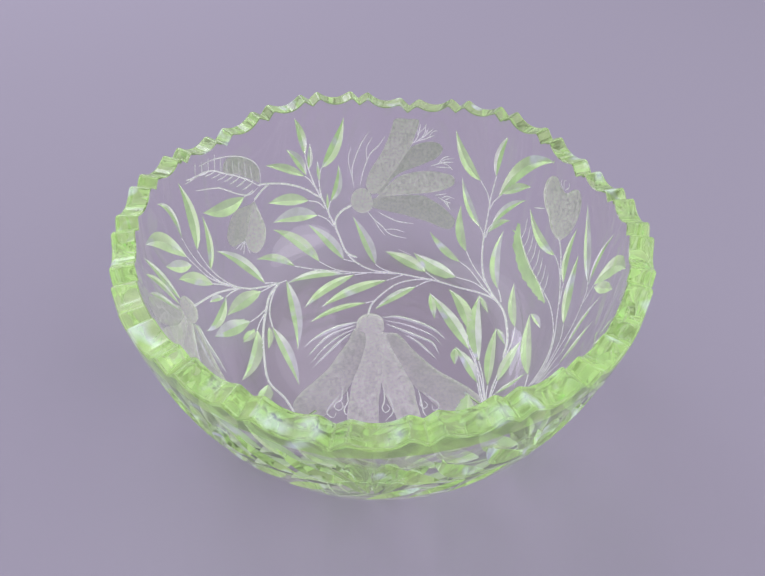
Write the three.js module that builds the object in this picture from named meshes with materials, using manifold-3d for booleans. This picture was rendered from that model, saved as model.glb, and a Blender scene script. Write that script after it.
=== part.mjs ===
// Uranium glass dish: a heavy cut bowl, one piece of glass, with a lobed and toothed rim.
// Millimetres, +Z up. The origin is the middle of the flat base, on the surface it stands on.

import * as THREE from 'three';
import { mergeVertices } from 'three/addons/utils/BufferGeometryUtils.js';
import Module from 'manifold-3d';

const wasm = await Module();
wasm.setup();

// Driving dimensions.
const RIM_RADIUS = 101.5;
const BASE_RADIUS = 38.5;
const HEIGHT = 90;
const RIM_THICKNESS = 8.6;
const FLOOR_THICKNESS = 10;
const FLOOR_RADIUS = 36;

// The wall's outline is (depth / height)^SHOULDER + (reach)^FULLNESS = 1.
const SHOULDER = 1.74;
const FULLNESS = 3.61;

// The rim: six shallow lobes, each with four pairs of teeth.
const LOBES = 6;
const PAIRS = 24;
const LOBE_DROP = 5.6;
const LOBE_SHARPNESS = 1.5;
const LOBE_REACH = 30;
const TIP_BLUNTING = 0.5;
const NOTCH_DEPTH = 4.2;
const NOTCH_WIDTH = 9.4;
const SCALLOP_DEPTH = 4;

// How finely the round surfaces are stepped.
const SEGMENTS = 72;
const OUTER_STEPS = 15;
const INNER_STEPS = 12;
const SCALLOP_SEGMENTS = 36;

const PITCH = (2 * Math.PI) / PAIRS;
const LOBE_ANGLE = (2 * Math.PI) / LOBES;
const FIRST_LOBE_TOP = 3.5 * PITCH;

// One side of the wall, from the rim at t = 0 down to the flat at t = 1.
class WallCurve extends THREE.Curve {
  constructor(rimRadius, flatRadius, flatHeight) {
    super();
    this.rimRadius = rimRadius;
    this.flatRadius = flatRadius;
    this.flatHeight = flatHeight;
  }

  getPoint(t, target = new THREE.Vector2()) {
    const turn = (t * Math.PI) / 2;
    const depth = Math.sin(turn) ** (2 / SHOULDER);
    const reach = Math.max(Math.cos(turn), 0) ** (2 / FULLNESS);
    const radius = this.flatRadius + (this.rimRadius - this.flatRadius) * reach;
    const height = HEIGHT - (HEIGHT - this.flatHeight) * depth;
    return target.set(radius, height);
  }
}

// How far the rim hangs below its highest points, at an angle measured from +X.
function lobeDrop(angle) {
  const turns = (angle - FIRST_LOBE_TOP) / LOBE_ANGLE;
  const fromTop = Math.abs(turns - Math.round(turns)) * 2;
  return LOBE_DROP * fromTop ** LOBE_SHARPNESS;
}

// The rim's slope along its outer edge, as an angle.
function lobeTilt(angle) {
  const step = 0.02;
  const rise = lobeDrop(angle - step) - lobeDrop(angle + step);
  return Math.atan2(rise, 2 * step * RIM_RADIUS);
}

function solidFrom(geometry) {
  const bare = geometry.clone();
  bare.deleteAttribute('normal');
  bare.deleteAttribute('uv');
  const merged = mergeVertices(bare, 1e-4);
  const corners = merged.index.array;
  const kept = [];
  for (let i = 0; i < corners.length; i += 3) {
    const [a, b, c] = [corners[i], corners[i + 1], corners[i + 2]];
    if (a !== b && b !== c && c !== a) kept.push(a, b, c);
  }
  const vertProperties = new Float32Array(merged.attributes.position.array);
  const triVerts = new Uint32Array(kept);
  return new wasm.Manifold(new wasm.Mesh({ numProp: 3, vertProperties, triVerts }));
}

function geometryFrom(solid) {
  const mesh = solid.getMesh();
  const geometry = new THREE.BufferGeometry();
  geometry.setAttribute('position', new THREE.BufferAttribute(mesh.vertProperties, 3));
  geometry.setIndex(new THREE.BufferAttribute(mesh.triVerts, 1));
  geometry.computeVertexNormals();
  return geometry;
}

// The uncut glass: a thick-walled bowl turned about Z, whose rim rises and falls in lobes.
function makeBlank() {
  const outer = new WallCurve(RIM_RADIUS, BASE_RADIUS, 0);
  const inner = new WallCurve(RIM_RADIUS - RIM_THICKNESS, FLOOR_RADIUS, FLOOR_THICKNESS);
  const outline = [
    new THREE.Vector2(0, 0),
    ...outer.getSpacedPoints(OUTER_STEPS).reverse(),
    ...inner.getSpacedPoints(INNER_STEPS),
    new THREE.Vector2(0, FLOOR_THICKNESS),
  ];
  const geometry = new THREE.LatheGeometry(outline, SEGMENTS);
  geometry.rotateX(Math.PI / 2);
  const place = geometry.attributes.position;
  for (let i = 0; i < place.count; i += 1) {
    const height = place.getZ(i);
    const share = Math.max(0, 1 - (HEIGHT - height) / LOBE_REACH);
    const angle = Math.atan2(place.getY(i), place.getX(i));
    place.setZ(i, height - share * lobeDrop(angle));
  }
  return solidFrom(geometry);
}

// Turns a cutter made about the X axis to face outward at an angle, tilted with the rim. The cutters
// stand a little high, so that the points of the teeth keep a narrow flat of the uncut rim.
function placeOnRim(geometry, angle) {
  geometry.rotateX(lobeTilt(angle));
  geometry.translate(0, 0, HEIGHT - lobeDrop(angle) + TIP_BLUNTING);
  geometry.rotateZ(angle);
  return solidFrom(geometry);
}

const CUT_START = RIM_RADIUS - 2 * RIM_THICKNESS;
const CUT_LENGTH = 3 * RIM_THICKNESS;

// A narrow V through the rim, between the two teeth of a pair.
function makeNotch(angle) {
  const open = 3;
  const half = (NOTCH_WIDTH / 2) * open;
  const top = NOTCH_DEPTH * (open - 1);
  const wedge = new THREE.Shape([
    new THREE.Vector2(0, -NOTCH_DEPTH),
    new THREE.Vector2(half, top),
    new THREE.Vector2(-half, top),
  ]);
  const geometry = new THREE.ExtrudeGeometry(wedge, { depth: CUT_LENGTH, bevelEnabled: false });
  geometry.rotateX(Math.PI / 2);
  geometry.rotateZ(Math.PI / 2);
  geometry.translate(CUT_START, 0, 0);
  return placeOnRim(geometry, angle);
}

// A broad round hollow through the rim, between two pairs of teeth.
function makeScallop(angle) {
  const halfChord = (PITCH * RIM_RADIUS - NOTCH_WIDTH) / 2;
  const radius = (halfChord ** 2 + SCALLOP_DEPTH ** 2) / (2 * SCALLOP_DEPTH);
  const geometry = new THREE.CylinderGeometry(radius, radius, CUT_LENGTH, SCALLOP_SEGMENTS);
  geometry.rotateZ(Math.PI / 2);
  geometry.translate(CUT_START + CUT_LENGTH / 2, 0, radius - SCALLOP_DEPTH);
  return placeOnRim(geometry, angle);
}

function makeBowl() {
  let glass = makeBlank();
  for (let pair = 0; pair < PAIRS; pair += 1) {
    glass = glass.subtract(makeScallop(pair * PITCH));
    glass = glass.subtract(makeNotch((pair + 0.5) * PITCH));
  }
  const uraniumGlass = new THREE.MeshStandardMaterial({
    color: 0xb4d67e,
    roughness: 0.05,
    metalness: 0,
  });
  const bowl = new THREE.Mesh(geometryFrom(glass), uraniumGlass);
  bowl.name = 'bowl';
  return bowl;
}

const dish = new THREE.Group();
dish.add(makeBowl());

export default dish;
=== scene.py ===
"""Uranium glass dish: a heavy cut bowl with a toothed rim and flowers and leaves cut into its outside.

The glass is one piece. Its surfaces are worked out in millimetres and written to the mesh in metres.
The ornament is laid out on a flat chart of the bowl's outside: chart distance from the origin is the
distance along the glass from the middle of the base, and chart direction is the direction around it.
"""

import math
import random

import bpy
import numpy as np
from mathutils import Matrix, Vector
from mathutils.geometry import delaunay_2d_cdt


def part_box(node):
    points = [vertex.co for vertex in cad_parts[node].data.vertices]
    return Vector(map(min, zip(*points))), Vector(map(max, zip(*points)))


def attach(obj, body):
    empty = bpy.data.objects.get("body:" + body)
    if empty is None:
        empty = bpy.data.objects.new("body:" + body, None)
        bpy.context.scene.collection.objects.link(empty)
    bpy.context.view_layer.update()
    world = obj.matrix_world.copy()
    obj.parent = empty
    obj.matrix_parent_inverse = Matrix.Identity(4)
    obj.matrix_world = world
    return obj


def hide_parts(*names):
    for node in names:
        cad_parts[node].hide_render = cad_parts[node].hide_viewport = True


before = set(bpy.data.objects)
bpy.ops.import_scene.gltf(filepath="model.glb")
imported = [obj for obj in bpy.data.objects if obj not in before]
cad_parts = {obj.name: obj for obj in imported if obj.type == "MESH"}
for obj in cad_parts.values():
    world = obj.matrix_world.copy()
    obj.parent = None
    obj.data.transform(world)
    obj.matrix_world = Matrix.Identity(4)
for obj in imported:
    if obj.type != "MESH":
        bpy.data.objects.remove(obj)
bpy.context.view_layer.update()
low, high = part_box("bowl")
random.seed(7)

# -------------------- the shape of the glass, in millimetres

# The same driving dimensions as the CAD bowl's. A wall's outline is
# (depth / height)^SHOULDER + (reach)^FULLNESS = 1.
RIM_RADIUS = 101.5
BASE_RADIUS = 38.5
HEIGHT = 90.0
RIM_THICKNESS = 8.6
FLOOR_THICKNESS = 10.0
FLOOR_RADIUS = 36.0
SHOULDER = 1.74
FULLNESS = 3.61
PAIRS = 24
LOBES = 6
LOBE_DROP = 5.6
LOBE_SHARPNESS = 1.5
LOBE_REACH = 30.0
TIP_BLUNTING = 0.5
NOTCH_DEPTH = 4.2
NOTCH_WIDTH = 9.4
SCALLOP_DEPTH = 4.0
PITCH = math.tau / PAIRS
LOBE_ANGLE = math.tau / LOBES
FIRST_LOBE_TOP = 3.5 * PITCH

# How far the polish rounds the cut rim: points of the teeth, bottoms of the notches, outer and inner edge.
TOOTH_ROUND = 1.6
NOTCH_ROUND = 0.7
OUTER_ROUND = 1.1
INNER_ROUND = 0.35

# Half the angle over which the slope of the rim is taken.
TILT_STEP = 0.02

# The chart reaches this far up the wall, and the band under the teeth starts there.
CHART_EDGE = 155.0


def wall_table(rim_radius, flat_radius, flat_height, steps=2000):
    """Distance along the glass from the centre line, radius and height, from the flat up to the rim."""
    turn = np.linspace(math.pi / 2, 0, steps)
    depth = np.sin(turn) ** (2 / SHOULDER)
    reach = np.maximum(np.cos(turn), 0) ** (2 / FULLNESS)
    radius = flat_radius + (rim_radius - flat_radius) * reach
    height = HEIGHT - (HEIGHT - flat_height) * depth
    along = np.concatenate([[0], np.cumsum(np.hypot(np.diff(radius), np.diff(height)))]) + flat_radius
    along = np.concatenate([[0], along])
    radius = np.concatenate([[0], radius])
    height = np.concatenate([[flat_height], height])
    return along, radius, height


OUTER = wall_table(RIM_RADIUS, BASE_RADIUS, 0)
INNER = wall_table(RIM_RADIUS - RIM_THICKNESS, FLOOR_RADIUS, FLOOR_THICKNESS)


def lobe_drop(angle):
    """How far the rim hangs below its highest points, at an angle from +X."""
    turns = (angle - FIRST_LOBE_TOP) / LOBE_ANGLE
    return LOBE_DROP * (2 * np.abs(turns - np.round(turns))) ** LOBE_SHARPNESS


def lowered(height, angle):
    """A height on the wall, with the lobes of the rim taken off it."""
    share = np.maximum(0, 1 - (HEIGHT - height) / LOBE_REACH)
    return height - share * lobe_drop(angle)


def on_wall(table, along, angle):
    """The point of a wall at a distance along it and an angle from +X, with the lobes of the rim in it."""
    radius = np.interp(along, table[0], table[1])
    height = lowered(np.interp(along, table[0], table[2]), angle)
    return np.stack([radius * np.cos(angle), radius * np.sin(angle), height], -1)


def wall_normal(table, along, angle, outward):
    """The exact normal of a wall, from short steps up and around it."""
    small = 0.15
    up = on_wall(table, along + small, angle) - on_wall(table, np.maximum(along - small, 0.01), angle)
    turn = small / np.maximum(along, 1)
    across = on_wall(table, along, angle + turn) - on_wall(table, along, angle - turn)
    normal = np.cross(across, up)
    normal /= np.maximum(np.linalg.norm(normal, axis=-1, keepdims=True), 1e-12)
    return normal if outward else -normal


def chart_to_polar(points):
    """Chart X and Y are the world's X and Y directions from the middle of the base."""
    return np.hypot(points[:, 0], points[:, 1]), np.arctan2(points[:, 1], points[:, 0])


def soft_min(a, b, size):
    """The smaller of two heights, rounded off where they differ by less than size."""
    blend = np.maximum(size - np.abs(a - b), 0) / size
    return np.minimum(a, b) - blend**2 * size / 4


def rim_height(x, y):
    """Height of the cut rim, with the points of its teeth and the bottoms of its notches rounded."""
    angle = np.arctan2(y, x)
    height = HEIGHT - lobe_drop(angle)
    half_chord = (PITCH * RIM_RADIUS - NOTCH_WIDTH) / 2
    round_radius = (half_chord**2 + SCALLOP_DEPTH**2) / (2 * SCALLOP_DEPTH)
    slope = math.atan2(NOTCH_DEPTH, NOTCH_WIDTH / 2)
    nearest = np.round(angle / (PITCH / 2)).astype(int)
    for offset in (-1, 0, 1):
        step = nearest + offset
        cut_angle = step * PITCH / 2
        across = -x * np.sin(cut_angle) + y * np.cos(cut_angle)
        rise = lobe_drop(cut_angle - TILT_STEP) - lobe_drop(cut_angle + TILT_STEP)
        tilt = np.arctan2(rise, 2 * TILT_STEP * RIM_RADIUS)
        top = HEIGHT - lobe_drop(cut_angle) + TIP_BLUNTING
        middle = round_radius - SCALLOP_DEPTH
        aside = across + np.sin(tilt) * middle
        inside = np.maximum(round_radius**2 - aside**2, 0)
        scallop = top + np.cos(tilt) * middle - np.sqrt(inside)
        scallop = scallop + 3 * np.maximum(np.abs(aside) - round_radius, 0)
        point = top - np.cos(tilt) * NOTCH_DEPTH
        off_point = across - np.sin(tilt) * NOTCH_DEPTH
        left = off_point * np.tan(tilt + slope)
        right = off_point * np.tan(tilt - slope)
        notch = point - soft_min(-left, -right, NOTCH_ROUND)
        height = soft_min(height, np.where(step % 2 == 0, scallop, notch), TOOTH_ROUND)
    return height


# -------------------- the ornament, in chart millimetres

# The materials that the surface is made of, in the order of the mesh's slots; the third and fourth also serve
# as painted lit copies of the leaf facet.
CLEAR, CUT, CUT_PALE_AND_PAINTED_LIT, CUT_PAINTED_LIT, MATT_FULL, MATT_SOFT, RIM, LINE = range(8)

# leaves: (tip, foot, width, bow); the middle line bows towards +Y by the last number
LEAVES = [
    # above the long branch
    ((-19, 91), (-3.5, 59), 6, 2), ((2, 69), (25, 53), 7.5, 1.5), ((19, 68), (42, 49), 9, -1),
    ((30, 81), (46, 59), 4.2, -1), ((53, 93), (51, 65), 5.4, 2.5), ((57, 109), (63, 77), 5, -1.5),
    ((58, 137), (70, 103), 6.6, -2.5), ((99, 118), (82, 101), 6, 3), ((129, 84), (80, 89), 9, 9),
    ((105, 83), (83, 90), 5, 1.5), ((99, 78), (71, 76), 4.6, 3.5), ((84, 73), (67, 72.5), 3.6, 2),
    ((78, 69.5), (65.5, 37), 6.2, 4), ((76, 37), (70.5, 10), 4.8, 1.5),
    # below the long branch
    ((-31, 25), (3, 46), 6.2, 2.5), ((-3, 24), (19, 41.5), 4.8, 1), ((-40, 24), (-15, 50), 5.6, 2.5),
    ((-52, 41), (-21, 50.5), 5.4, 3.5), ((-74, 50), (-50, 53.5), 4.6, 3.5),
    ((-69, 71), (-36, 59), 6.6, 4.5), ((-47, 81), (-22, 62), 6.6, 3), ((-36, 14), (-8, 28.5), 3.4, 2.5),
    # upper left branch
    ((-70, 75), (-42, 88), 8, 2.5), ((-77, 84), (-50, 95), 6.5, 1.5), ((-86, 103), (-56, 108), 4.6, 2),
    ((-74, 118), (-55, 109), 6, 2), ((-73, 137), (-59, 120), 6, 1.5), ((-57, 127), (-54, 113), 4, 0.5),
    ((-49, 119), (-45, 108), 2.4, 0), ((-33, 148), (-45, 116), 7.6, -2),
    ((-33, 120), (-35, 98), 5.4, -2.5), ((-38, 102), (-36, 93), 1.8, 0),
    # left sprays
    ((-101, 40), (-65, 38), 6.2, 5), ((-119, 50), (-101, 27), 5, 3), ((-144, 49.5), (-114, 30), 9, 4.5),
    ((-151, 22), (-127, 26), 4.6, 6), ((-148, -12), (-119, 20), 9, 6), ((-130, -2), (-114, 19), 6.4, 0),
    ((-119, 2), (-96, 21), 6.8, 2.5), ((-92, -10), (-86, 19), 5, -3), ((-95, 9), (-87, 18), 3.6, 1),
    ((-82, 9), (-66, 32), 8, 1.5), ((-86, -9), (-68, 11), 8.5, 1), ((-66, -28), (-63, 7), 6, -3.5),
    ((-69, -3), (-64, 6), 5, 0), ((-37, -25), (-55, 10), 5.2, 1.5), ((-55, -4), (-57, 10), 3, 0.8),
    ((-40, -4), (-53, 43), 5.6, 2.5), ((-57, -42), (-52, -26), 6.5, -1), ((-119, 52), (-95, 79), 8, -1),
    # beside the flower on the left wall
    ((-146, -22), (-113, -8), 5.5, 3), ((-141, -31), (-113, -12), 4.5, 4),
    ((-134, -40), (-112, -16), 3.5, 3),
    # right sprays
    ((100, 72), (107, 37), 5.2, -3), ((128, 37.5), (107, 17), 5, 3.5), ((142, 43), (123, 1), 6.2, 1),
    ((123, 23), (100, -7), 7, 2.5), ((151, 3), (122, -2), 4, 5), ((149, -36), (126, -6), 10, 6.5),
    ((137, -31), (126, -8), 6, 0.5), ((128, -21), (97, -25), 3, 4.5), ((119, -31), (92, -33), 3.4, 2),
    # spray near the front
    ((26, 37), (44, -2), 6.8, 1), ((28, 18), (26.5, 36), 3.6, 0), ((37, 40), (44.5, 12), 7, 2.5),
    ((54, 35), (48, -9), 7.4, 2.5), ((57, 22), (54, 34), 2.6, 0), ((37, 0), (46, -22), 5.4, 1),
    ((36, -11), (37, -1), 3.6, 0), ((60, 12), (51, -24), 4.8, 1), ((63, 0), (60, 11), 3, 0.5),
    ((72, 0), (56, -22), 5, 1), ((72, -22), (54, -30), 2.4, 0.5), ((41, -28), (38, -52), 9.5, 0),
    ((81, 14.5), (73, -24), 6.2, 2), ((85, 2), (81.5, 14), 3.6, 0.8),
]

# stems: (points, width at the first point, width at the last point); 0.9 and 0.7 where not said
STEMS = [
    # the long branch and the tall spray; both run double higher up, to look thicker
    ([(61, -8), (65, 4), (66, 20), (62.5, 30), (54, 36.5), (43, 41), (31, 46), (20, 49), (9, 51.8),
      (-1, 53), (-8, 55.4), (-15, 60.5), (-21, 67.5), (-27, 79), (-33, 88), (-40, 97), (-47, 104),
      (-55, 113.5)], 1.5, 1),
    ([(64.5, 26), (60.5, 37), (58.6, 46), (59, 54), (61, 63), (64, 71), (69, 80.5), (74, 90),
      (82, 101)], 1.5, 1),
    ([(-15, 64), (-21, 67.6), (-27, 79), (-33, 88), (-40, 97), (-47, 104), (-55, 113.5)], 1.4, 1),
    ([(61, 63), (64, 71), (69, 80.5), (74, 90), (82, 101)], 1.3, 1),
    # side stems of both
    ([(62, 31), (57, 40), (51, 53), (46, 59)],), ([(60, 38), (58, 44), (53.5, 55), (51, 65)],),
    ([(59, 36), (52, 44), (42, 49)],), ([(65.5, 28), (65.8, 32), (65.5, 37)],),
    ([(62, -8), (67, 1), (70.5, 10)],), ([(64, 70), (63.5, 74), (63, 77)],),
    ([(72.5, 86), (73, 94), (70, 103)],), ([(72, 85), (76, 88), (80, 89), (83, 90)],),
    ([(65.5, 71), (68, 74.5), (71, 76)],), ([(64.8, 70), (67, 72.5)], 0.8, 0.7),
    ([(34, 44.5), (30, 48), (25, 53)],), ([(7, 52), (0, 55.5), (-3.5, 59)],),
    ([(12, 50.5), (8, 48.5), (3, 46)],), ([(29, 47), (24, 45), (19, 41.5)],),
    ([(8, 51.5), (-6, 52), (-17, 52), (-26, 54), (-36, 59)], 1.1, 0.7), ([(-8, 51.6), (-15, 50)],),
    ([(-14, 51.8), (-21, 50.5)], 0.8, 0.7), ([(-20, 52.3), (-34, 53), (-50, 53.5)],),
    ([(-16, 60.5), (-22, 62)],),
    # to the flower on the base
    ([(28, 47.5), (18, 46.8), (9, 43.5), (3, 38), (-2, 32), (-5, 27), (-6.5, 20)], 1.1, 1.1),
    ([(-4, 30), (-8, 28.5)],),
    # upper left branch, with the stems of its flower and its hanging bud
    ([(-30, 83), (-36, 87), (-42, 88)],), ([(-38, 93), (-43, 95.5), (-50, 95)],),
    ([(-43, 99), (-55, 101), (-68, 99.5), (-80, 95), (-87, 91)], 1.3, 1.1),
    ([(-46, 103), (-52, 107), (-56, 108)],), ([(-52, 110), (-56, 115), (-59, 120)],),
    ([(-40, 97), (-43.5, 103), (-45.5, 110), (-45, 116)], 1, 0.7), ([(-34, 88), (-35.5, 93), (-35, 98)],),
    ([(-28, 80), (-30, 87), (-27, 93), (-21, 97.5)], 1.2, 1.6),
    ([(-80, 95), (-84, 89), (-87, 82)], 1.1, 1.4), ([(-90, 86), (-95, 79)],),
    # left sprays
    ([(-57, 40), (-66, 35), (-74, 31), (-83, 28.5), (-93, 27.5), (-104, 28), (-114, 30)], 1.3, 0.7),
    ([(-57, 40), (-61, 39.5), (-65, 38)],),
    ([(-80, 29), (-92, 25.5), (-105, 24.5), (-116, 24.5), (-127, 26)], 1.1, 0.7),
    ([(-88, 26.5), (-100, 22.5), (-110, 21.5), (-119, 20)], 1, 0.7), ([(-82, 28), (-90, 25), (-98, 20)],),
    ([(-78, 29.5), (-86, 24), (-95, 14), (-104, -2)], 1, 1.4), ([(-80, 28), (-84, 23), (-86, 19)],),
    ([(-59, 39), (-63, 35), (-66, 32)],),
    ([(-57, 40), (-60.5, 31), (-60.5, 20), (-59.5, 6), (-56.5, -9), (-52, -24), (-43, -33),
      (-36, -44)], 1.5, 1.2),
    ([(-58, 38), (-59, 30), (-58.5, 20), (-55, 10)], 1, 0.8), ([(-60.5, 22), (-64, 16), (-68, 11)],),
    ([(-61, 18), (-62.5, 12), (-63, 7)],), ([(-57, 40), (-53, 43)],),
    # right sprays
    ([(72, -33), (80, -26), (87, -18), (92, -8), (94, 2), (94.5, 12), (93, 21)], 0.8, 0.8),
    ([(74, -33), (84, -24), (91, -13), (97, 1), (103, 14), (108, 26), (112, 36), (113.5, 44)], 0.8, 1.1),
    ([(104, 16), (106.5, 24), (107.5, 31), (107, 37)],), ([(101, 8), (104, 13), (107, 17)],),
    ([(76, -33), (88, -23), (96, -15), (100, -7)], 0.7, 0.7),
    ([(77, -34), (92, -22), (106, -14), (116, -7), (122, -2)], 0.8, 0.8),
    ([(116, -7), (120, -4), (123, 1)],), ([(114, -8), (121, -7), (126, -6)],),
    ([(78, -35), (88, -28), (97, -25)], 0.6, 0.6), ([(78, -36), (86, -33), (92, -33)], 0.6, 0.6),
    ([(70, -32), (73, -24)],),
    # spray near the front
    ([(50, -44), (48, -34), (47, -24), (46.5, -12), (44, -2)], 0.8, 0.7),
    ([(50, -44), (48.6, -32), (48, -20), (46, -6), (44, 3), (44.5, 12)], 0.7, 0.7),
    ([(50, -44), (49, -30), (49, -18), (48, -9)], 0.7, 0.7),
    ([(50, -44), (47, -32), (46, -22)], 0.6, 0.6), ([(50, -44), (49.5, -32), (51, -24)], 0.6, 0.6),
    ([(50, -44), (51, -34), (56, -22)], 0.6, 0.6), ([(50, -44), (50, -35), (54, -30)], 0.6, 0.6),
    ([(50, -36), (53, -26), (59, -13)], 1, 0.6),
]

# narrow curved fern blades around the flowers: (points, greatest width)
FERNS = [
    ([(1, 18.5), (8, 19), (15, 17), (22, 14), (28, 10), (33, 4)], 2.6),
    ([(3, 14), (10, 10.5), (20, 5.5), (26, 2), (29, -5)], 2.2),
    ([(12, 7), (18, 3), (25, -5), (28, -9)], 1.6),
    ([(2, 16.5), (12, 14), (21, 10), (27, 6), (31, 0)], 1.2),
    ([(-11, 15), (-20, 12), (-27, 8), (-33, 3), (-37, -2)], 2.8),
    ([(-12, 13), (-20, 9), (-27, 4), (-35, -8)], 1.8), ([(-14, 8), (-19, 3), (-25, -5), (-32, -15)], 1.6),
    ([(-12, 11), (-20, 5.5), (-27, -2), (-33, -12)], 1.2),
    ([(-98, -11), (-94, -14), (-90, -17), (-82, -22), (-75, -28)], 3.8),
    ([(-99, -16), (-93, -22), (-88, -27), (-82, -33)], 3.2),
    ([(-101, -18), (-97, -26), (-93, -34), (-89, -42)], 2.4),
]

# fine single cuts: (points, width)
LINES = [
    ([(-20, 108), (-22.5, 118), (-21, 126), (-17, 135), (-12, 142)], 0.7),
    ([(-16, 110), (-14, 120), (-10, 129), (-4, 134), (1, 140)], 0.7),
    ([(-22, 114), (-26, 124), (-25, 132)], 0.5), ([(-12, 124), (-13, 132), (-9, 139)], 0.5),
    ([(-10, 95), (-5, 90), (0, 86), (5, 81), (15, 78)], 0.7),
    ([(-3, 95), (3, 92), (10, 89), (20, 87)], 0.7), ([(2, 84), (8, 84), (14, 82)], 0.5),
    ([(-6, 91), (-2, 85), (2, 80)], 0.5), ([(10, 70.5), (18, 66)], 0.4),
    ([(22, 134), (27, 139), (30, 147)], 0.7), ([(24, 135), (33, 139), (40, 142)], 0.7),
    ([(27, 136), (35, 137), (40, 138)], 0.7), ([(28, 141), (33, 144), (35, 146)], 0.5),
    ([(33, 139), (36, 143)], 0.5), ([(31, 137.5), (37, 141)], 0.5), ([(27, 139), (27, 144)], 0.5),
    ([(35, 120), (44, 120.5), (52, 119)], 0.7), ([(40, 120), (45, 123), (50, 123)], 0.5),
    ([(38, 119), (45, 117.5), (50, 116)], 0.5), ([(38, 101), (42, 98), (46, 96)], 0.7),
    ([(29, 137), (33, 141), (34, 145)], 0.5), ([(36, 138), (40, 140.5), (43, 140)], 0.5),
    ([(44, 120.3), (48, 118), (51, 114.5)], 0.5), ([(42, 121), (47, 121.8), (53, 121)], 0.5),
    ([(40, 100), (44, 100.5), (49, 98)], 0.5), ([(43, 98), (45, 92)], 0.5), ([(42, 98.5), (46, 99)], 0.5),
    ([(41, 99), (44, 94)], 0.5), ([(36, 102.5), (44, 102)], 0.5),
    ([(-17, -25), (-17, -32), (-19, -33.5), (-20, -36), (-18, -38), (-16, -36), (-17, -33)], 0.6),
    ([(-15, -26), (-14, -33), (-15.5, -37), (-14.5, -40), (-12.8, -38)], 0.6),
    ([(-18, -30), (-22, -36), (-23, -40), (-20, -42), (-19, -39)], 0.6),
    ([(2, -25), (2.5, -32), (1.5, -36), (3, -38.5), (5, -36.5), (3.5, -34)], 0.6),
    ([(3, -27), (5.5, -33), (6.5, -38), (4.5, -41), (3, -43)], 0.6),
    ([(18, -26), (19, -31), (18.5, -34), (20.5, -36), (22, -34), (20.5, -32)], 0.6),
    ([(20, -27), (24, -31), (26.5, -33), (27, -36), (24.5, -37), (24, -34)], 0.6),
    ([(19, -30), (20, -38), (22, -41)], 0.6), ([(-85, 57), (-86, 50)], 0.6),
    ([(-85, 57), (-83, 49)], 0.6), ([(-84.5, 56.5), (-79, 51.5)], 0.6), ([(-85.5, 56), (-89, 49)], 0.5),
    ([(128, 66), (128, 71), (130, 72)], 0.6), ([(128.5, 66), (131, 70), (133, 69)], 0.6),
    ([(129, 65), (133, 64), (134.5, 66)], 0.6), ([(103, 71), (110, 66)], 0.6),
    # the feather by the bud: middle, outline and stem
    ([(-86, 90.5), (-95, 89.5), (-105, 86.5), (-115, 82.5), (-124, 78), (-131, 70), (-136, 60),
      (-139, 54)], 1),
    ([(-86, 92), (-90, 99), (-97, 101), (-105, 99.5), (-113, 96), (-120, 91.5), (-128, 83),
      (-135, 72)], 0.7),
    ([(-87, 89.5), (-91, 83), (-98, 79), (-106, 76), (-114, 72.5), (-122, 66), (-130, 58)], 0.7),
    # the feather on the right: middle
    ([(90, 68), (88, 60), (88, 50), (89, 40), (91, 30), (93, 21)], 0.9),
]

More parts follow.
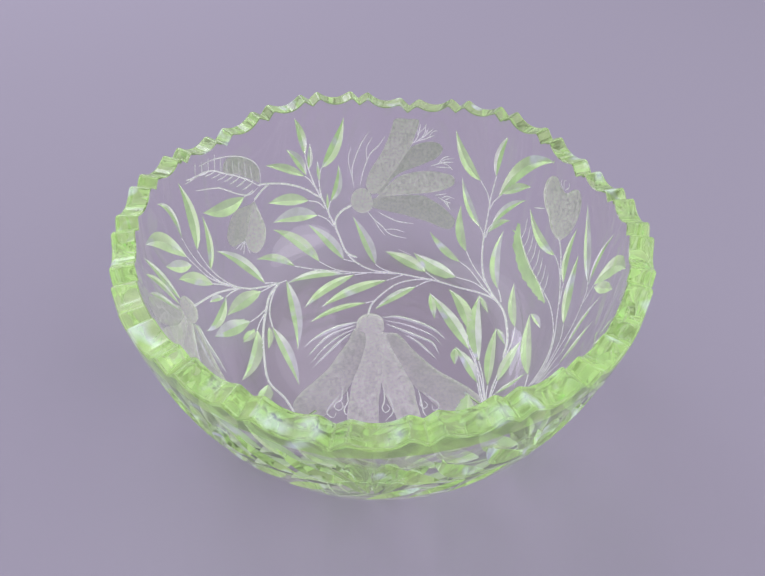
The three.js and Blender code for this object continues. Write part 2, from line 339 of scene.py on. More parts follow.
# matt ground shapes: (outline, depth, material)
MATT = [
    # flower on the base
    ([(-8, 9.5), (-12.8, 10.5), (-16, 2), (-20, -6), (-24, -14), (-30, -22), (-36, -29), (-39, -36),
      (-37, -43), (-31, -45), (-25, -42), (-21, -37), (-17, -31), (-12.5, -22), (-9, -10),
      (-7, 2)], 0.7, MATT_SOFT),
    ([(-8, 9.5), (-7, 2), (-9, -10), (-12.5, -22), (-13.5, -32), (-14, -42), (-12, -50), (-6, -53),
      (-0.5, -50), (0, -42), (0, -32), (1, -22), (1, -8), (0, 4), (-1, 8)], 0.7),
    ([(-1, 8), (0, 4), (1, -8), (1, -22), (4, -32), (7.5, -40), (9, -49), (14, -53), (19, -50),
      (19, -42), (17, -32), (15.5, -23), (10, -11), (5, 0), (3, 8)], 0.9),
    ([(3, 8), (8, 8), (12, 4), (16, -2), (22, -9), (28, -15), (34, -19), (42, -25), (47, -31), (47, -38),
      (42, -42), (35, -41), (28, -37), (22, -30), (15.5, -23), (10, -11), (5, 0)], 0.7, MATT_SOFT),
    ([(-12, 9.5), (-12.3, 14), (-10.5, 18.5), (-6.5, 21), (-2, 20.5), (1.2, 17.5), (1.8, 13), (1.5, 9),
      (-5, 7)], 1.2),
    # flower on the far wall
    ([(-9, 106), (-12, 111), (-9, 120), (-3, 128), (1, 134), (4, 140), (7, 147), (10, 152), (26, 151),
      (29, 148), (25, 140), (22, 134), (18, 130), (8, 119), (-4, 106)], 0.7),
    ([(-4, 106), (8, 119), (18, 130), (24, 133.5), (35, 134.5), (43, 132), (45.5, 128), (40, 124),
      (30, 122), (10, 117), (-2, 105)], 0.7, MATT_SOFT),
    ([(-4, 104), (10, 115.5), (25, 118), (35, 117), (45, 114), (51, 110.5), (50.5, 106.5), (45, 105),
      (35, 104.5), (10, 105), (-3, 102.5)], 0.8),
    ([(-6, 103), (0, 104.5), (10, 104.7), (25, 104), (32, 101), (40, 95), (45, 89), (47, 85), (44.5, 81),
      (40, 81.5), (35, 84), (30, 87), (20, 91), (10, 94), (0, 96), (-7, 98)], 0.7, MATT_SOFT),
    ([(-6.5, 101), (-8, 105), (-12, 108.5), (-17, 108), (-20.5, 105), (-21.5, 100), (-19, 95.5),
      (-14.5, 93.5), (-9.5, 94.5), (-6.5, 97.5)], 1.2),
    # flower on the left wall
    ([(-113, -13), (-122, -22), (-130, -34), (-134, -46), (-131, -54), (-123, -52), (-116, -40),
      (-110, -26), (-108, -15)], 0.7, MATT_SOFT),
    ([(-108, -15), (-110, -26), (-115, -38), (-118, -48), (-118, -58), (-112, -63), (-105, -58),
      (-104, -44), (-104, -28), (-105, -15)], 0.7),
    ([(-105, -15), (-104, -28), (-103, -44), (-100, -58), (-93, -61), (-88, -55), (-90, -42), (-95, -28),
      (-101, -14)], 0.9),
    ([(-101, -14), (-94.5, -28), (-87, -40), (-79, -48), (-72, -46), (-72, -38), (-79, -29), (-88, -20),
      (-98, -12)], 0.7, MATT_SOFT),
    ([(-99, -7), (-100.5, -12.5), (-106, -15.5), (-112, -13), (-114, -7.5), (-112, -3), (-106, -0.5),
      (-101, -2.5)], 1.2),
    # the hanging bud and the bud on the right
    ([(-87, 81), (-80, 76), (-74, 70), (-72, 62), (-74, 55), (-77, 53), (-81, 54), (-85, 58),
      (-86, 68)], 0.9),
    ([(-87, 81), (-86, 68), (-85, 58), (-89, 52), (-92, 49), (-97, 51), (-99, 60), (-98, 68), (-94, 73),
      (-89, 78)], 0.7, MATT_SOFT),
    ([(113, 42), (111, 47), (110, 52), (111, 60), (111, 68), (113, 75), (118, 79), (123, 79), (127, 75),
      (127, 70), (128, 65), (130, 62), (136, 60), (140, 56), (139, 50), (135, 45), (128, 41),
      (120, 40)], 1),
    # the blades of the two feathers
    ([(-87, 92), (-90, 98.5), (-97, 100.5), (-105, 99), (-113, 95.5), (-118, 91), (-116, 83.2),
      (-105, 87.6), (-95, 90.6)], 0.35, MATT_SOFT),
]


def hatching():
    """Short strokes either side of a feather's middle line."""
    strokes = []
    middle = [(-92, 90), (-97, 89), (-102, 87.5), (-107, 85.7), (-112, 83.6), (-117, 81.4), (-122, 79),
              (-126.5, 75.3), (-130.5, 70.5), (-134, 64.5)]
    for x, y in middle:
        strokes.append(([(x, y), (x - 3, y + 4), (x - 5.5, y + 8)], 0.7))
        strokes.append(([(x, y), (x - 2.5, y - 4), (x - 5.5, y - 8)], 0.7))
    for k in range(8):
        y = 22 + 5.4 * k
        x = 91.5 - 0.09 * (y - 22) if y < 55 else 88.3
        strokes.append(([(x, y), (x + 4, y + 3), (x + 8, y + 8.5)], 0.7))
    return strokes


LINES += hatching()

# The garland round the front: directions in degrees clockwise from +Y, distances on the chart.
BLOOMS = (146, 181, 216)
SPRIGS = (128, 157, 187, 219)
GARLAND_START = 117
GARLAND_STEP = 8.6
PETAL_FOOT = 120
PETAL_POINTS = 14


def around(direction, distance):
    """The chart point at a direction in degrees clockwise from +Y."""
    turn = math.radians(direction)
    return (distance * math.sin(turn), distance * math.cos(turn))


def petal(bloom, lean, reach):
    """The outline of a petal that leans some degrees to one side of its bloom's direction."""
    outline = []
    for step in range(PETAL_POINTS):
        turn = math.tau * step / PETAL_POINTS
        share = 0.5 - 0.5 * math.cos(turn)
        swell = (0.7 + 2.6 * share) * math.sin(turn)
        direction = bloom + lean * (0.2 + 0.8 * share) + 0.9 * swell
        outline.append(around(direction, PETAL_FOOT + (reach - PETAL_FOOT) * share))
    return outline


def garland():
    """A wavy stem round the front with broad leaves above and below it, and blooms between them."""
    leaves = []
    for k in range(14):
        foot = GARLAND_START + GARLAND_STEP * k
        near_bloom = min(abs(foot + 5 - bloom) for bloom in BLOOMS) < 6
        if not near_bloom:
            leaves.append((around(foot + 11, 152 - 2 * (k % 2)), around(foot, 131), 9.5, 1.5))
            leaves.append((around(foot + 14, 107 + 3 * (k % 2)), around(foot + 3, 126), 8.5, -1.5))
        leaves.append((around(foot + 1, 151), around(foot - 2, 133), 4.5, 0.5))
    petals = []
    for bloom in BLOOMS:
        for lean, reach in ((-8.5, 148), (-3, 152), (3, 152), (8.5, 148)):
            petals.append((petal(bloom, lean, reach), 0.9, RIM))
    stem = [around(GARLAND_START - 5 + GARLAND_STEP * k, 129 + 2.5 * math.sin(k)) for k in range(16)]
    return leaves, petals, stem


def sprig(direction):
    """A short spray that climbs from near the base towards the garland, with leaves in pairs."""
    leaves = []
    for k, distance in enumerate((64, 77, 90)):
        middle = direction + 1.5 * k
        foot = around(middle, distance)
        leaves.append((around(middle + 14 - 2 * k, distance + 13), foot, 5.0, 1.0))
        leaves.append((around(middle - 13 + 2 * k, distance + 14), foot, 5.0, -1.0))
    stem = [around(direction + turn, distance) for turn, distance in ((-3, 48), (0, 64), (3, 90), (4, 116))]
    return leaves, stem


for direction in SPRIGS:
    sprig_leaves, sprig_stem = sprig(direction)
    LEAVES += [(*leaf, "broad") for leaf in sprig_leaves]
    STEMS.append((sprig_stem, 1.2, 0.8, "broad"))

garland_leaves, garland_petals, garland_stem = garland()
LEAVES += [(*leaf, "broad") for leaf in garland_leaves]
STEMS.append((garland_stem, 1.3, 1.0, "broad"))
MATT += garland_petals


# -------------------- cutting the ornament

# The width of each kind of cut against the width in its list, and its depth against its own width.
LEAF_WIDTH, LEAF_DEPTH = 1.06, 0.24
STEM_WIDTH, STEM_DEPTH = 0.92, 0.36
FERN_WIDTH, FERN_DEPTH = 0.8, 0.3
LINE_DEPTH = 0.4
SAW_DEPTH = 0.17

# A leaf's middle line lies this share of its width off the middle of the leaf.
LEAF_LEAN = 0.06


def smooth_path(points, step):
    """A Catmull-Rom curve through the points, stepped along its length."""
    if len(points) == 2:
        length = math.dist(*points)
        count = max(2, int(length / step) + 1)
        return [tuple(p) for p in np.linspace(points[0], points[1], count)]
    before = 2 * np.array(points[0]) - points[1]
    after = 2 * np.array(points[-1]) - points[-2]
    ends = np.array([before, *points, after], float)
    path = []
    for a, b, c, d in zip(ends, ends[1:], ends[2:], ends[3:]):
        count = max(1, round(math.dist(b, c) / step))
        for k in range(count):
            t = k / count
            bend = 2 * a - 5 * b + 4 * c - d
            twist = 3 * b - a - 3 * c + d
            path.append(0.5 * (2 * b + (c - a) * t + bend * t**2 + twist * t**3))
    return [tuple(p) for p in path] + [tuple(points[-1])]


class Cut:
    """A V cut along a middle line, with its own half width on each side of it."""

    def __init__(self, middle, left, right, depth, kind):
        self.middle = np.array(middle, float)
        self.left = np.array(left, float)
        self.right = np.array(right, float)
        self.depth = np.array(depth, float)
        self.kind = kind
        ahead = np.gradient(self.middle, axis=0)
        ahead /= np.linalg.norm(ahead, axis=1, keepdims=True) + 1e-9
        self.side = np.stack([-ahead[:, 1], ahead[:, 0]], 1)

    def rails(self):
        """The two edges of the cut."""
        return self.middle + self.side * self.left[:, None], self.middle - self.side * self.right[:, None]

    def reach(self):
        """The greatest half width."""
        return max(self.left.max(), self.right.max())

    def depth_at(self, points):
        """Depth of the cut below each chart point, and which side of the middle line it is on."""
        best = np.zeros(len(points))
        side = np.zeros(len(points), int)
        for i in range(len(self.middle) - 1):
            a, b = self.middle[i], self.middle[i + 1]
            along = b - a
            length2 = along @ along + 1e-12
            t = np.clip((points - a) @ along / length2, 0, 1)
            offset = points - (a + t[:, None] * along)
            across = (along[0] * offset[:, 1] - along[1] * offset[:, 0]) / math.sqrt(length2)
            distance = np.hypot(offset[:, 0], offset[:, 1])
            left = self.left[i] + (self.left[i + 1] - self.left[i]) * t
            right = self.right[i] + (self.right[i + 1] - self.right[i]) * t
            half = np.maximum(np.where(across >= 0, left, right), 1e-6)
            deep = (self.depth[i] + (self.depth[i + 1] - self.depth[i]) * t) * (1 - distance / half)
            better = deep > best
            best = np.where(better, deep, best)
            side = np.where(better, np.where(across >= 0, 1, 2), side)
        return best, side


def leaf_cut(tip, foot, width, bow, kind="leaf"):
    """A leaf: two facets that meet in a bowed middle line, widest nearer the foot."""
    tip, foot = np.array(tip, float), np.array(foot, float)
    length = np.linalg.norm(tip - foot)
    ahead = (tip - foot) / length
    up = np.array([-ahead[1], ahead[0]])
    if up[1] < 0:
        up = -up
    t = np.linspace(0, 1, max(7, int(length / 2.2)))
    middle = foot + (tip - foot) * t[:, None] + up * (bow * 4 * t * (1 - t))[:, None]
    shape = np.sin(math.pi * t**0.82) ** 1.05
    shape[0] = shape[-1] = 0
    width = width * LEAF_WIDTH
    lean = LEAF_LEAN if bow >= 0 else -LEAF_LEAN
    if ahead[0] > 0:
        lean = -lean
    left = width * (0.5 - lean) * shape + 0.02
    right = width * (0.5 + lean) * shape + 0.02
    depth = LEAF_DEPTH * width * shape**0.8 + 0.02
    return Cut(middle, left, right, depth, kind)


def stem_cut(points, first=0.9, last=0.7, kind="line"):
    """A stem, whose width goes evenly from the first to the last."""
    path = smooth_path(points, 2.5)
    width = STEM_WIDTH * np.linspace(first, last, len(path))
    return Cut(path, width / 2, width / 2, width * STEM_DEPTH, kind)


def fern_cut(points, width):
    """A narrow curved blade, pointed at both ends."""
    path = smooth_path(points, 2.0)
    width = width * FERN_WIDTH
    t = np.linspace(0, 1, len(path))
    shape = np.sin(math.pi * t**0.8) ** 0.8
    shape[0] = shape[-1] = 0.05
    return Cut(path, width / 2 * shape, width / 2 * shape, width * FERN_DEPTH * shape, "fern")


def line_cut(points, width):
    """A fine cut that thins out towards its ends."""
    path = smooth_path(points, 1.6)
    t = np.linspace(0, 1, len(path))
    shape = np.minimum(1, 0.35 + 2.6 * np.minimum(t, 1 - t))
    return Cut(path, width / 2 * shape, width / 2 * shape, width * LINE_DEPTH * shape, "line")


def saw_cut(points, width, teeth):
    """Half a feather: a wide cut on one side of its middle line, with a saw edge."""
    path = smooth_path(points, 1.2)
    t = np.linspace(0, 1, len(path))
    shape = np.sin(math.pi * t**0.9) ** 0.55
    shape[0] = shape[-1] = 0.02
    reach = width * shape * (1 - 0.22 * (t * teeth % 1))
    return Cut(path, np.full(len(path), 0.3), reach, width * SAW_DEPTH * shape + 0.05, "leaf")


def inside_polygon(points, polygon):
    """Which points lie inside a closed outline."""
    x, y = points[:, 0], points[:, 1]
    inside = np.zeros(len(points), bool)
    for (x1, y1), (x2, y2) in zip(polygon, np.roll(polygon, -1, 0)):
        crosses = (y1 > y) != (y2 > y)
        with np.errstate(divide="ignore", invalid="ignore"):
            at = (x2 - x1) * (y - y1) / (y2 - y1) + x1
        inside ^= crosses & (x < at)
    return inside


def distance_to_outline(points, polygon):
    """How far each point is from the nearest side of an outline."""
    best = np.full(len(points), 1e9)
    for a, b in zip(polygon, np.roll(polygon, -1, 0)):
        along = b - a
        t = np.clip((points - a) @ along / (along @ along + 1e-12), 0, 1)
        offset = points - (a + t[:, None] * along)
        best = np.minimum(best, np.hypot(offset[:, 0], offset[:, 1]))
    return best


class Matt:
    """A shallow ground hollow inside an outline, in a material of its own."""

    def __init__(self, outline, depth, slot=MATT_FULL):
        self.outline = np.array(smooth_path([*outline, outline[0]], 2.2)[:-1])
        self.depth = depth
        self.slot = slot

    def depth_at(self, points):
        """Depth of the hollow below each chart point, and which points are in it."""
        inside = inside_polygon(points, self.outline)
        distance = distance_to_outline(points, self.outline)
        return np.where(inside, self.depth * (1 - np.exp(-distance / 1.6)) + 0.05, 0), inside


cuts = [leaf_cut(*leaf) for leaf in LEAVES]
cuts += [stem_cut(*stem) for stem in STEMS]
cuts += [fern_cut(*fern) for fern in FERNS]
cuts += [line_cut(*line) for line in LINES]
cuts.append(saw_cut([(90, 68), (88, 60), (88, 50), (89, 40), (91, 30), (92, 16)], 8.0, 9))
grounds = [Matt(*matt) for matt in MATT]


# Spacing of the chart's free points: between rings, along a ring, and over matt ground with its jitter and
# its gap to the outline. Only one of them is kept in each cell.
RING_STEP = 2.5
RING_SPACING = 3.2
GROUND_STEP = 1.3
GROUND_JITTER = 0.3
GROUND_GAP = 0.6
CELL = 0.9

# Cuts and free points keep this far from the chart's edge, where the band under the teeth joins it.
EDGE_GAP = 1.2


def chart_outlines(edge_angles):
    """The chart's edge, every cut's edges and middle line, and every hollow's outline, as joined points."""
    points, edges = [], []

    def add_path(path, closed=False):
        first = len(points)
        points.extend((float(x), float(y)) for x, y in path)
        edges.extend((first + i, first + i + 1) for i in range(len(path) - 1))
        if closed:
            edges.append((first + len(path) - 1, first))

    add_path([(CHART_EDGE * math.cos(a), CHART_EDGE * math.sin(a)) for a in edge_angles], True)
    clip = CHART_EDGE - EDGE_GAP
    for cut in cuts:
        left, right = cut.rails()
        for path in (left, cut.middle, right):
            kept = [p for p in path if math.hypot(*p) < clip]
            if len(kept) > 1:
                add_path(kept)
    for ground in grounds:
        if np.hypot(ground.outline[:, 0], ground.outline[:, 1]).max() < clip:
            add_path(ground.outline, True)
    return points, edges


def free_points():
    """Points over the whole chart, close enough to follow the round of the glass, and closer in hollows."""
    rings = []
    for k in range(1, int(CHART_EDGE / RING_STEP)):
        ring = RING_STEP * k
        count = max(6, int(math.tau * ring / RING_SPACING))
        shift = random.random()
        for j in range(count):
            turn = (j + shift) * math.tau / count
            rings.append((ring * math.cos(turn), ring * math.sin(turn)))
    free = np.array(rings)
    for ground in grounds:
        low_corner, high_corner = ground.outline.min(0), ground.outline.max(0)
        xs = np.arange(low_corner[0], high_corner[0], GROUND_STEP)
        ys = np.arange(low_corner[1], high_corner[1], GROUND_STEP)
        grid = np.stack(np.meshgrid(xs, ys), -1).reshape(-1, 2)
        grid = grid + np.random.default_rng(3).uniform(-GROUND_JITTER, GROUND_JITTER, grid.shape)
        grid = grid[inside_polygon(grid, ground.outline)]
        free = np.concatenate([free, grid[distance_to_outline(grid, ground.outline) > GROUND_GAP]])
    return free


def chart_mesh(edge_angles):
    """The chart's points and triangles, and the points along its edge in order."""
    points, edges = chart_outlines(edge_angles)
    cells = {(int(x // CELL), int(y // CELL)) for x, y in points}
    for x, y in free_points():
        cell = (int(x // CELL), int(y // CELL))
        if cell not in cells and math.hypot(x, y) < CHART_EDGE - EDGE_GAP:
            cells.add(cell)
            points.append((float(x), float(y)))
    result = delaunay_2d_cdt([Vector(p) for p in points], edges, [], 0, 1e-3)
    chart = np.array([tuple(v) for v in result[0]])
    triangles = np.array([tuple(f) for f in result[2] if len(f) == 3])
    owner = {source: index for index, sources in enumerate(result[3]) for source in sources}
    boundary = [owner[i] for i in range(len(edge_angles))]
    return chart, triangles, boundary


def near_to(points, corners, margin):
    """Which points are in the box round some corners, or within a margin of it."""
    return ((points >= corners.min(0) - margin) & (points <= corners.max(0) + margin)).all(1)


def chart_depths(chart):
    """How deep the ornament is cut at each chart point."""
    depth = np.zeros(len(chart))
    for cut in cuts:
        near = near_to(chart, cut.middle, cut.reach() + 0.1)
        if near.any():
            depth[near] = np.maximum(depth[near], cut.depth_at(chart[near])[0])
    for ground in grounds:
        near = near_to(chart, ground.outline, 0.1)
        if near.any():
            depth[near] = np.maximum(depth[near], ground.depth_at(chart[near])[0])
    return depth


# Smoothing groups: the uncut glass, one for each hollow, two for each cut, the rim, and the rim's inner edge.
UNCUT = 0
FIRST_CUT_GROUP = 1000
RIM_GROUP = 50000
EDGE_GROUP = 50001

# A cut counts only where it is deeper than this, and the leaf facets that face this way are painted as the
# lit ones.
LEAST_DEPTH = 0.004
PAINTED_LIT_SIDE = np.array([0.5, 0.86])


def chart_classes(middles):
    """Material and smoothing group for each triangle, from its middle."""
    slot = np.full(len(middles), CLEAR)
    group = np.full(len(middles), UNCUT)
    depth = np.zeros(len(middles))
    for number, ground in enumerate(grounds):
        near = np.nonzero(near_to(middles, ground.outline, 0))[0]
        found = near[inside_polygon(middles[near], ground.outline)]
        slot[found] = ground.slot
        group[found] = 1 + number
    for number, cut in enumerate(cuts):
        near = np.nonzero(near_to(middles, cut.middle, cut.reach()))[0]
        if not len(near):
            continue
        deep, side = cut.depth_at(middles[near])
        found = deep > np.maximum(depth[near], LEAST_DEPTH)
        chosen = near[found]
        depth[chosen] = deep[found]
        group[chosen] = FIRST_CUT_GROUP + 2 * number + side[found]
        if cut.kind == "leaf":
            # painted light: the facet facing the lit way takes a lit copy, paler in two leaves of five and
            # light green in the others, and the other facet keeps the leaf green
            facing = cut.side.mean(0) @ PAINTED_LIT_SIDE
            lit = np.where(side[found] == 1, facing, -facing)
            lit_slot = CUT_PALE_AND_PAINTED_LIT if number % 5 in (0, 2) else CUT_PAINTED_LIT
            slot[chosen] = np.where(lit < 0, CUT, lit_slot)
        elif cut.kind == "broad":
            # painted shade: one facet of each broad leaf takes the darker rim green and the other the leaf
            # green
            slot[chosen] = np.where(side[found] == 1, CUT, RIM)
        elif cut.kind == "fern":
            slot[chosen] = CUT_PALE_AND_PAINTED_LIT
        else:
            slot[chosen] = LINE
    return slot, group


# -------------------- the whole surface

MILLIMETRE = 0.001

# The rim's columns are closer together over a tooth's point and a notch's bottom: half widths of those
# strips, how much narrower a notch is than half a pitch, and the columns in each stretch of a pitch.
POINT_STRIP = 1.4
BOTTOM_STRIP = 0.7
NOTCH_MARGIN = 4
COLUMNS = [6, 7, 2, 3, 2, 7, 6]

# Rows of the band under the teeth, of the inner wall for TEETH_REACH below its teeth, and of the rest of
# it; how far the rim's rows are from its outer edge, and the floor's from the centre.
BAND_ROWS = 6
INNER_ROWS = 5
TEETH_REACH = 16
WALL_ROWS = 26
RIM_TOP_ROWS = (2.6, 4.4, 6.4, RIM_THICKNESS - INNER_ROUND)
FLOOR_ROWS = (FLOOR_RADIUS - 2, 28.0, 19.0, 9.0)

# A surface counts as flat this far inside the edge of the base or the floor.
FLAT_MARGIN = 0.3

positions, faces, face_slots, face_groups, analytic = [], [], [], [], {}


def column_angles(radius):
    """Angles of the columns of the rim, from +X."""
    half_pitch = PITCH / 2
    half_notch = (half_pitch * radius - NOTCH_MARGIN) / 2
    tooth = half_pitch - half_notch / radius
    near = POINT_STRIP / radius
    stops = [0, tooth - near, tooth + near, half_pitch - BOTTOM_STRIP / radius]
    stops += [PITCH - stop for stop in reversed(stops)]
    stretches = zip(stops, stops[1:], COLUMNS)
    one = np.concatenate([np.linspace(a, b, n, endpoint=False) for a, b, n in stretches])
    return np.concatenate([one + k * PITCH for k in range(PAIRS)])


def add_points(block, normals=None):
    """Adds points, with their exact normals where they are uncut glass, and gives their numbers."""
    first = sum(len(p) for p in positions)
    positions.append(np.asarray(block, float))
    ids = np.arange(first, first + len(block))
    if normals is not None:
        analytic.update(zip(ids, normals))
    return ids


def add_strip(lower, upper, slot, group):
    """Quads between two closed rows of points, wound so that they face outward."""
    slots = np.broadcast_to(slot, len(lower))
    for i in range(len(lower)):
        j = (i + 1) % len(lower)
        faces.append((lower[i], lower[j], upper[j], upper[i]))
        face_slots.append(int(slots[i]))
        face_groups.append(group)


def rows_between(table, lowest, first, last, angles, count, steps):
    """Rows of distances along a wall that share out the way between two heights at each angle.

    Heights are looked up in a number of steps from the lowest distance to the rim.
    """
    fine_along = np.linspace(lowest, table[0][-1], steps)
    rows = np.zeros((count + 1, len(angles)))
    for i, a in enumerate(angles):
        heights = lowered(np.interp(fine_along, table[0], table[2]), a)
        rows[:, i] = np.interp(np.linspace(first[i], last[i], count + 1), heights, fine_along)
    return rows


# the outside, with its ornament, up to the chart's edge
edge_angles = column_angles(RIM_RADIUS)
chart, triangles, boundary = chart_mesh(edge_angles)
along, angle = chart_to_polar(chart)
outward = wall_normal(OUTER, along, angle, True)
outward[along < BASE_RADIUS - FLAT_MARGIN] = (0, 0, -1)
cut_surface = on_wall(OUTER, along, angle) - outward * chart_depths(chart)[:, None]
chart_ids = add_points(cut_surface, outward)
slots, groups = chart_classes(chart[triangles].mean(1))
for (a, b, c), slot, group in zip(triangles, slots, groups):
    faces.append((a, c, b))
    face_slots.append(int(slot))
    face_groups.append(int(group))
last_row = chart_ids[boundary]

# the band from the chart's edge up to the teeth; over the front more of its rows take the rim's material, as
# a painted green glow
band_start = on_wall(OUTER, np.full(len(edge_angles), CHART_EDGE), edge_angles)[:, 2]
teeth_top = rim_height(RIM_RADIUS * np.cos(edge_angles), RIM_RADIUS * np.sin(edge_angles))
painted_glow_rows = 1 + (BAND_ROWS - 2) * np.clip(-2 * np.sin(edge_angles) - 0.2, 0, 1)
band_end = teeth_top - OUTER_ROUND
band = rows_between(OUTER, CHART_EDGE, band_start, band_end, edge_angles, BAND_ROWS, 120)
for row in range(1, BAND_ROWS + 1):
    normals = wall_normal(OUTER, band[row] - 0.2, edge_angles, True)
    ids = add_points(on_wall(OUTER, band[row], edge_angles), normals)
    add_strip(last_row, ids, np.where(row > BAND_ROWS - painted_glow_rows, RIM, CLEAR), UNCUT)
    last_row = ids

# round the outer edge and across the top of the rim
turns = [math.radians(a) for a in (22, 45, 68, 90)]
rim_rows = [(RIM_RADIUS - OUTER_ROUND * (1 - math.cos(a)), OUTER_ROUND * (1 - math.sin(a))) for a in turns]
rim_rows += [(RIM_RADIUS - inset, 0) for inset in RIM_TOP_ROWS]
for radius, below in rim_rows:
    angles = column_angles(radius)
    x, y = radius * np.cos(angles), radius * np.sin(angles)
    ids = add_points(np.stack([x, y, rim_height(x, y) - below], -1))
    add_strip(last_row, ids, RIM, RIM_GROUP)
    last_row = ids

# the inner wall, from the teeth down, and the floor
inner_rim = RIM_RADIUS - RIM_THICKNESS
angles = column_angles(inner_rim)
teeth_foot = INNER[0][-1] - TEETH_REACH
inner_top = rim_height(inner_rim * np.cos(angles), inner_rim * np.sin(angles)) - INNER_ROUND
inner_foot = on_wall(INNER, np.full(len(angles), teeth_foot), angles)[:, 2]
rows = list(rows_between(INNER, teeth_foot, inner_top, inner_foot, angles, INNER_ROWS, 160))
rows += [np.full(len(angles), s) for s in np.linspace(teeth_foot, FLOOR_RADIUS + 0.5, WALL_ROWS)[1:]]
rows += [np.full(len(angles), s) for s in FLOOR_ROWS]
for number, row in enumerate(rows):
    normals = wall_normal(INNER, row, angles, False)
    normals[row < FLOOR_RADIUS - FLAT_MARGIN] = (0, 0, 1)
    ids = add_points(on_wall(INNER, row, angles), normals)
    add_strip(last_row, ids, CLEAR if number else RIM, UNCUT if number else EDGE_GROUP)
    last_row = ids
centre = add_points([(0, 0, FLOOR_THICKNESS)], [np.array((0, 0, 1.0))])[0]
for i in range(len(last_row)):
    faces.append((last_row[i], last_row[(i + 1) % len(last_row)], centre))
    face_slots.append(CLEAR)
    face_groups.append(UNCUT)

mesh = bpy.data.meshes.new("cut_glass")
corners = np.concatenate(positions) * MILLIMETRE
mesh.from_pydata(corners.tolist(), [], [tuple(int(i) for i in f) for f in faces])
mesh.polygons.foreach_set("material_index", face_slots)
mesh.polygons.foreach_set("use_smooth", [True] * len(faces))
mesh.update()

# Smooth within a facet, sharp between facets; the uncut glass takes the exact normal of its curve.
flat = np.zeros(len(mesh.polygons) * 3)
mesh.polygons.foreach_get("normal", flat)
flat = flat.reshape(-1, 3)
areas = np.zeros(len(mesh.polygons))
mesh.polygons.foreach_get("area", areas)
sums = {}
for face, group, normal, area in zip(faces, face_groups, flat, areas):
    if group != UNCUT:
        for k in face:
            key = (int(k), group)
            sums[key] = sums.get(key, 0) + normal * area
loop_normals = []
for face, group, normal in zip(faces, face_groups, flat):
    for k in face:
        if group == UNCUT:
            chosen = analytic[int(k)]
        else:
            chosen = sums[(int(k), group)]
            size = np.linalg.norm(chosen)
            chosen = chosen / size if size > 1e-15 else normal
        loop_normals.append(tuple(float(c) for c in chosen))
mesh.normals_split_custom_set(loop_normals)
bowl = bpy.data.objects.new("cut_glass_bowl", mesh)
bpy.context.scene.collection.objects.link(bowl)


# -------------------- materials

GLASS_IOR = 1.53
TINT = (0.80, 0.95, 0.60)
TINT_DENSITY = 7.0

# Colours of the painted glow, and of the painted lilac glints in it.
GLOW = (0.44, 0.70, 0.27)
PAINTED_LIT_GLOW = (0.53, 0.67, 0.42)
PALE_GLOW = (0.66, 0.61, 0.78)
MATT_GLOW = (0.70, 0.63, 0.74)
RIM_GLOW = (0.147, 0.217, 0.049)
PAINTED_GLINT = (0.66, 0.60, 0.95)
RIM_PAINTED_GLINT = (0.42, 0.41, 0.66)
PAINTED_GLINT_SCALE = 70
PIT_SCALE = 1800


def new_material(name):
    """A material with nodes, and its shader."""
    material = bpy.data.materials.new(name)
    material.use_nodes = True
    return material, next(n for n in material.node_tree.nodes if n.type == "BSDF_PRINCIPLED")


def noise_on_object(nodes, links, scale, detail):
    """Noise over the object's own coordinates."""
    where = nodes.new("ShaderNodeTexCoord")
    noise = nodes.new("ShaderNodeTexNoise")
    noise.inputs["Scale"].default_value = scale
    noise.inputs["Detail"].default_value = detail
    links.new(where.outputs["Object"], noise.inputs["Vector"])
    return noise


def noise_to(nodes, links, scale, detail, low_value, high_value, socket):
    """Noise into a socket, with the range that noise mostly keeps to spread over the two values."""
    noise = noise_on_object(nodes, links, scale, detail)
    spread = nodes.new("ShaderNodeMapRange")
    spread.inputs["From Min"].default_value = 0.35
    spread.inputs["From Max"].default_value = 0.7
    spread.inputs["To Min"].default_value = low_value
    spread.inputs["To Max"].default_value = high_value
    links.new(noise.outputs["Fac"], spread.inputs["Value"])
    links.new(spread.outputs["Result"], socket)


def glass(name, colour, roughness, transmission, glow, strength, wear_scale, patchy=0.0, patch_scale=0.0,
          grain=0.0, painted_glint=None):
    """Glass with a painted glow, and whose polish wears unevenly.

    The glow's strength varies by the share patchy, grain roughens the surface with fine pits, and the last
    argument is a second colour of glow in scattered spots, painted lilac glints.
    """
    material, shader = new_material(name)
    nodes, links = material.node_tree.nodes, material.node_tree.links
    shader.inputs["Base Color"].default_value = (*colour, 1)
    shader.inputs["IOR"].default_value = GLASS_IOR
    shader.inputs["Transmission Weight"].default_value = transmission
    # painted light: every glass material glows by its own emission
    shader.inputs["Emission Color"].default_value = (*glow, 1)
    shader.inputs["Emission Strength"].default_value = strength
    noise_to(nodes, links, wear_scale, 4, roughness * 0.7, roughness * 1.5, shader.inputs["Roughness"])
    if patchy:
        low_glow, high_glow = strength * (1 - patchy), strength * (1 + patchy)
        noise_to(nodes, links, patch_scale, 5, low_glow, high_glow, shader.inputs["Emission Strength"])
    # painted glints: noise scatters spots of lilac glow over the surface
    if painted_glint:
        blend = nodes.new("ShaderNodeMix")
        blend.data_type = "RGBA"  # sockets 6 and 7 are its colours
        blend.inputs[6].default_value = (*glow, 1)
        blend.inputs[7].default_value = (*painted_glint, 1)
        noise_to(nodes, links, PAINTED_GLINT_SCALE, 2, -2.4, 1.2, blend.inputs[0])
        links.new(blend.outputs[2], shader.inputs["Emission Color"])
    if grain:
        pits = noise_on_object(nodes, links, PIT_SCALE, 3)
        raised = nodes.new("ShaderNodeBump")
        raised.inputs["Strength"].default_value = grain
        raised.inputs["Distance"].default_value = 0.0001
        links.new(pits.outputs["Fac"], raised.inputs["Height"])
        links.new(raised.outputs["Normal"], shader.inputs["Normal"])
    tint = nodes.new("ShaderNodeVolumeAbsorption")
    tint.inputs["Color"].default_value = (*TINT, 1)
    tint.inputs["Density"].default_value = TINT_DENSITY
    output = next(n for n in nodes if n.type == "OUTPUT_MATERIAL")
    links.new(tint.outputs["Volume"], output.inputs["Volume"])
    return material


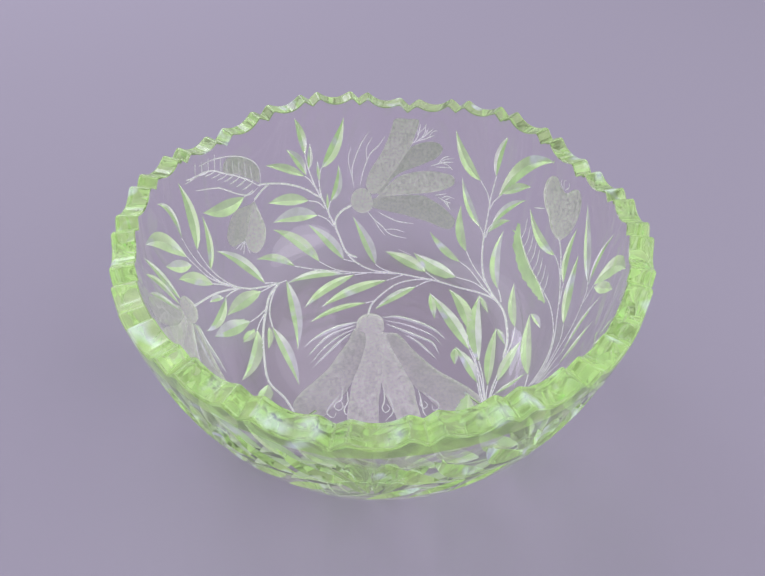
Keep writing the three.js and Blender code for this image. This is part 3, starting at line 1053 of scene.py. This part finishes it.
# In the order of the slots, CLEAR to LINE.
for made in (
    glass("polished_glass", (0.985, 0.915, 0.985), 0.02, 1.0, GLOW, 0.01, 60),
    glass("leaf_facet", (0.88, 0.97, 0.80), 0.16, 0.65, GLOW, 0.40, 300, 0.3, 130, painted_glint=PAINTED_GLINT),
    # painted light: the next two are lit copies of the leaf facet, for facets that face one way; the first of
    # them also colours the ferns
    glass("leaf_facet_pale_and_painted_lit", (0.90, 0.88, 0.97), 0.14, 0.6, PALE_GLOW, 0.34, 300, 0.3, 130),
    glass("leaf_facet_painted_lit", (0.90, 0.94, 0.86), 0.15, 0.6, PAINTED_LIT_GLOW, 0.36, 300, 0.3, 130, painted_glint=PAINTED_GLINT),
    glass("ground_matt", (0.84, 0.78, 0.88), 0.5, 0.5, MATT_GLOW, 0.25, 500, 0.55, 700, grain=0.8),
    glass("ground_matt_soft", (0.82, 0.76, 0.86), 0.45, 0.6, MATT_GLOW, 0.19, 500, 0.55, 700, grain=0.8),
    glass("rim_glass", (0.68, 0.81, 0.47), 0.10, 0.8, RIM_GLOW, 0.42, 80, 0.6, 140, painted_glint=RIM_PAINTED_GLINT),
    glass("line_cut", (0.92, 0.89, 0.98), 0.3, 0.4, PALE_GLOW, 0.36, 400),
):
    mesh.materials.append(made)

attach(bowl, "root")
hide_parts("bowl")

# -------------------- floor, light and camera

width = high[0] - low[0]
middle = Vector(((low[0] + high[0]) / 2, (low[1] + high[1]) / 2, (low[2] + high[2]) / 2))

# Lights: name, place from the middle in bowl widths, size and power, colour.
LIGHTS = [
    ("key", (-4.4, 3.9, 5.7), 1.8, 6.0, (0.93, 0.90, 1.0)),
    ("fill", (5.4, -2.5, 4.7), 1.0, 4.0, (0.98, 0.95, 1.0)),
    ("window", (-3.4, 6.0, 4.4), 0.5, 2.0, (0.82, 0.78, 1.0)),
]

# The view: angles in degrees, lengths in bowl widths.
VIEW_HEIGHT_ANGLE = 36.56
VIEW_DISTANCE = 1.0952
VIEW_PAN = -0.216
VIEW_TILT = -44.52
VIEW_ROLL = 1.17
RIM_BELOW_TOP = 0.013
FLOOR_WIDTHS = 150
FLOOR_GAP = 0.0001

bpy.ops.mesh.primitive_plane_add(size=FLOOR_WIDTHS * width, location=(middle.x, middle.y, low[2] - FLOOR_GAP))
floor = bpy.context.object
floor.name = "floor"
paper, paper_shader = new_material("floor_paper")
paper_shader.inputs["Base Color"].default_value = (0.47, 0.435, 0.53, 1)
paper_shader.inputs["Roughness"].default_value = 0.85
floor.data.materials.append(paper)

world = bpy.data.worlds.new("studio")
bpy.context.scene.world = world
world.use_nodes = True
back = world.node_tree.nodes["Background"]
back.inputs["Color"].default_value = (0.86, 0.84, 0.95, 1)
back.inputs["Strength"].default_value = 0.6

for name, offset, size, power, colour in LIGHTS:
    light = bpy.data.lights.new(name, "AREA")
    light.shape = "DISK"
    light.size = size
    light.energy = power
    light.color = colour
    lamp = bpy.data.objects.new(name, light)
    lamp.location = middle + width * Vector(offset)
    lamp.rotation_euler = (middle - lamp.location).to_track_quat("-Z", "Y").to_euler()
    bpy.context.scene.collection.objects.link(lamp)

# The camera stands off from the middle of the rim.
camera_data = bpy.data.cameras.new("camera")
camera_data.sensor_width = 36
camera_data.lens = 26.5
camera_data.clip_start = 0.005
camera = bpy.data.objects.new("camera", camera_data)
rim_middle = Vector((middle.x, middle.y, high[2] - RIM_BELOW_TOP * width))
rise = math.radians(VIEW_HEIGHT_ANGLE)
place = rim_middle + VIEW_DISTANCE * width * Vector((0, -math.cos(rise), math.sin(rise)))
pan = Matrix.Rotation(math.radians(VIEW_PAN), 4, "Z")
tilt = Matrix.Rotation(math.radians(90 + VIEW_TILT), 4, "X")
roll = Matrix.Rotation(math.radians(VIEW_ROLL), 4, "Z")
camera.matrix_world = Matrix.Translation(place) @ pan @ tilt @ roll
bpy.context.scene.collection.objects.link(camera)
bpy.context.scene.camera = camera

scene = bpy.context.scene
scene.view_settings.view_transform = "Standard"
scene.cycles.max_bounces = 16
scene.cycles.transmission_bounces = 12
scene.cycles.glossy_bounces = 6
scene.cycles.diffuse_bounces = 3
scene.cycles.use_denoising = True
scene.cycles.blur_glossy = 0.1
scene.cycles.sample_clamp_indirect = 6
